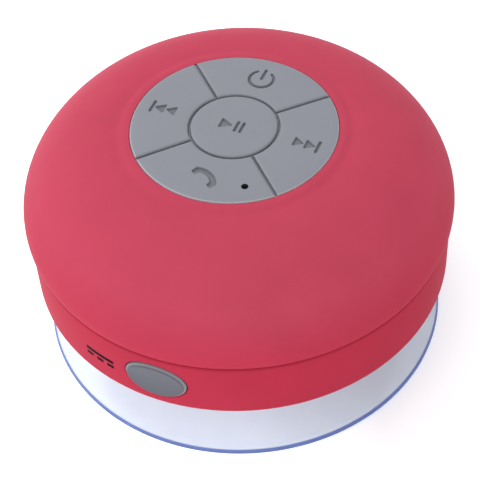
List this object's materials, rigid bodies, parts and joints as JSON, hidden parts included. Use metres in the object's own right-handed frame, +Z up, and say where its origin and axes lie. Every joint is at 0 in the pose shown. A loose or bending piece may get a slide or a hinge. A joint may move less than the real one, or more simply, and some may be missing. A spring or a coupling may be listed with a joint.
{
  "type": "shower speaker",
  "caption": "Round waterproof speaker with a domed housing, press keys on top, a covered charging port and a clear suction cup below.",
  "frame": {"origin": "centre of the suction cup's lip, in the plane that the lip stands on", "axes": "+Z up through the keypad, -Y out through the charging port, +X to the port's right when it is faced"},
  "size_m": [0.086, 0.086, 0.0502],
  "materials": {
    "red_soft_touch": "soft-touch red ABS",
    "grey_silicone": "matte grey silicone",
    "clear_pvc": "clear soft PVC",
    "black_rubber": "matte black rubber",
    "black_plastic": "black moulded plastic",
    "white_plastic": "white moulded plastic",
    "black_metal": "black painted steel sheet",
    "steel": "zinc-plated steel",
    "copper": "enamelled copper winding",
    "ferrite": "dark sintered ferrite",
    "board": "green solder-masked circuit board",
    "battery_pouch": "silvery laminate pouch",
    "grille_mesh": "fine black acoustic mesh",
    "cone_paper": "dark coated paper",
    "spider_cloth": "stiffened yellow cloth",
    "red_insulation": "red wire insulation",
    "black_insulation": "black wire insulation"
  },
  "bodies": {
    "housing": {"amplifier_chip": "black_plastic", "battery": "battery_pouch", "battery_lead_black": "black_insulation", "battery_lead_red": "red_insulation", "battery_socket": "white_plastic", "board_screw_1": "steel", "board_screw_2": "steel", "board_screw_3": "steel", "case_screw_1": "steel", "case_screw_2": "steel", "case_screw_3": "steel", "case_screw_4": "steel", "charge_board": "board", "charge_lead_black": "black_insulation", "charge_lead_red": "red_insulation", "charge_socket": "steel", "charger_chip": "black_plastic", "grille_mesh": "grille_mesh", "keypad_web": "grey_silicone", "lower_shell": "red_soft_touch", "main_board": "board", "microphone": "steel", "port_tether": "grey_silicone", "radio_module": "black_plastic", "shell_seal": "black_rubber", "speaker_frame": "black_metal", "speaker_gasket": "black_rubber", "speaker_lead_black": "black_insulation", "speaker_lead_red": "red_insulation", "speaker_magnet": "ferrite", "speaker_spider": "spider_cloth", "speaker_surround": "black_rubber", "speaker_terminals": "board", "speaker_top_plate": "steel", "speaker_yoke": "steel", "switch_next": "black_plastic", "switch_phone": "black_plastic", "switch_play": "black_plastic", "switch_power": "black_plastic", "switch_previous": "black_plastic", "upper_shell": "red_soft_touch"},
    "play_key": {"button_play": "grey_silicone"},
    "play_plunger": {"plunger_play": "black_plastic"},
    "power_key": {"button_power": "grey_silicone"},
    "power_plunger": {"plunger_power": "black_plastic"},
    "next_key": {"button_next": "grey_silicone"},
    "next_plunger": {"plunger_next": "black_plastic"},
    "phone_key": {"button_phone": "grey_silicone"},
    "phone_plunger": {"plunger_phone": "black_plastic"},
    "previous_key": {"button_previous": "grey_silicone"},
    "previous_plunger": {"plunger_previous": "black_plastic"},
    "port_flap": {"port_plug": "grey_silicone"},
    "moving_cone": {"speaker_cone": "cone_paper", "dust_cap": "cone_paper", "voice_coil": "copper"},
    "hub": {"cup_hub": "white_plastic", "hub_clip": "steel", "hub_washer": "black_rubber"},
    "cup": {"suction_cup": "clear_pvc"}
  },
  "joints": [
    {"name": "press_play", "type": "slide", "parent": "housing", "child": "play_key", "axis": [0, 0, -1], "range_m": [0, 0.00055], "stiffness_N_per_m": 1500},
    {"name": "click_play", "type": "slide", "parent": "housing", "child": "play_plunger", "axis": [0, 0, -1], "range_m": [0, 0.000275]},
    {"name": "press_power", "type": "slide", "parent": "housing", "child": "power_key", "axis": [0, 0, -1], "range_m": [0, 0.00055], "stiffness_N_per_m": 1500},
    {"name": "click_power", "type": "slide", "parent": "housing", "child": "power_plunger", "axis": [0, 0, -1], "range_m": [0, 0.000275]},
    {"name": "press_next", "type": "slide", "parent": "housing", "child": "next_key", "axis": [0, 0, -1], "range_m": [0, 0.00055], "stiffness_N_per_m": 1500},
    {"name": "click_next", "type": "slide", "parent": "housing", "child": "next_plunger", "axis": [0, 0, -1], "range_m": [0, 0.000275]},
    {"name": "press_phone", "type": "slide", "parent": "housing", "child": "phone_key", "axis": [0, 0, -1], "range_m": [0, 0.00055], "stiffness_N_per_m": 1500},
    {"name": "click_phone", "type": "slide", "parent": "housing", "child": "phone_plunger", "axis": [0, 0, -1], "range_m": [0, 0.000275]},
    {"name": "press_previous", "type": "slide", "parent": "housing", "child": "previous_key", "axis": [0, 0, -1], "range_m": [0, 0.00055], "stiffness_N_per_m": 1500},
    {"name": "click_previous", "type": "slide", "parent": "housing", "child": "previous_plunger", "axis": [0, 0, -1], "range_m": [0, 0.000275]},
    {"name": "flap_hinge", "type": "hinge", "parent": "housing", "child": "port_flap", "pos_m": [0.0064, -0.0425, 0.0224], "axis": [0, 0, 1], "range_deg": [0, 110]},
    {"name": "cone_travel", "type": "slide", "parent": "housing", "child": "moving_cone", "axis": [0, 0, 1], "range_m": [-0.0005, 0.0005], "stiffness_N_per_m": 1000, "deforming": ["speaker_surround", "speaker_spider"]},
    {"name": "hub_swivel", "type": "hinge", "parent": "housing", "child": "hub", "pos_m": [0, 0, 0.018], "axis": [0, 0, 1], "continuous": true},
    {"name": "cup_press", "type": "slide", "parent": "hub", "child": "cup", "axis": [0, 0, 1], "range_m": [0, 0.004], "stiffness_N_per_m": 4000, "springref_m": -0.001, "deforming": ["suction_cup"]}
  ],
  "couplings": [
    {"joint": "click_play", "follows": "press_play", "ratio": 0.5},
    {"joint": "click_power", "follows": "press_power", "ratio": 0.5},
    {"joint": "click_next", "follows": "press_next", "ratio": 0.5},
    {"joint": "click_phone", "follows": "press_phone", "ratio": 0.5},
    {"joint": "click_previous", "follows": "press_previous", "ratio": 0.5}
  ]
}
